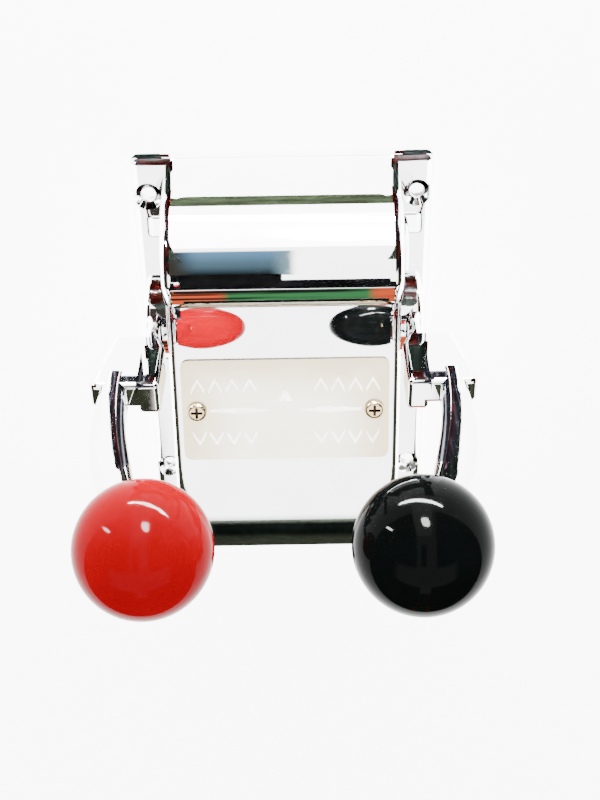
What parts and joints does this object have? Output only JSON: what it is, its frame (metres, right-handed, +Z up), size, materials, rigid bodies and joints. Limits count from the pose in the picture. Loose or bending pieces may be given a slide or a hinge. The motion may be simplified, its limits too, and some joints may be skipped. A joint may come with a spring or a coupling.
{
  "type": "marine engine control head",
  "caption": "Marine engine control head: chromed flanged housing with a round nose, side-mounted shift and throttle levers bowed in to ball knobs, and cable cranks underneath.",
  "frame": {"origin": "centre of the mounting face, where the flange rests on the dash", "axes": "+Z up out of the mounting face, +Y ahead (the way the levers move for full ahead), +X starboard, the shift lever's side"},
  "size_m": [0.113, 0.133, 0.1644],
  "materials": {
    "chrome_casting": "mirror chrome plating on a polished casting",
    "chrome_lever": "mirror chrome plating on a polished casting",
    "satin_plate": "satin stainless sheet, engraved",
    "steel_fastener": "passivated stainless",
    "bright_steel": "turned bright steel",
    "spring_steel": "phosphated spring steel",
    "zinc_steel": "zinc plated pressing",
    "bronze": "oil-filled sintered bronze",
    "brass_insert": "turned brass",
    "nylon_pad": "natural nylon",
    "black_knob": "polished black phenolic",
    "red_knob": "polished red phenolic"
  },
  "bodies": {
    "base": {"housing": "chrome_casting", "name_plate": "satin_plate", "name_plate_screws": "steel_fastener", "shift_bushing": "bronze", "throttle_bushing": "bronze", "shift_detent_ball": "bright_steel", "shift_detent_spring": "bright_steel", "throttle_brake_pad": "nylon_pad", "throttle_brake_spring": "bright_steel"},
    "shift": {"shift_lever": "chrome_lever", "shift_knob": "black_knob", "shift_knob_insert": "brass_insert", "shift_knob_stud": "bright_steel", "shift_shaft": "bright_steel", "shift_shaft_ring": "spring_steel", "shift_crank": "zinc_steel", "shift_cable_pin": "bright_steel", "shift_cable_clip": "spring_steel", "shift_hub_washer": "steel_fastener", "shift_hub_screw": "steel_fastener"},
    "throttle": {"throttle_lever": "chrome_lever", "throttle_knob": "red_knob", "throttle_knob_insert": "brass_insert", "throttle_knob_stud": "bright_steel", "throttle_shaft": "bright_steel", "throttle_shaft_ring": "spring_steel", "throttle_crank": "zinc_steel", "throttle_cable_pin": "bright_steel", "throttle_cable_clip": "spring_steel", "throttle_hub_washer": "steel_fastener", "throttle_hub_screw": "steel_fastener"}
  },
  "joints": [
    {"name": "shift_pivot", "type": "hinge", "parent": "base", "child": "shift", "pos_m": [0, 0.023, 0.03], "axis": [-1, 0, 0], "range_deg": [-40, 40]},
    {"name": "throttle_pivot", "type": "hinge", "parent": "base", "child": "throttle", "pos_m": [0, 0.023, 0.03], "axis": [-1, 0, 0], "range_deg": [-40, 40]}
  ]
}
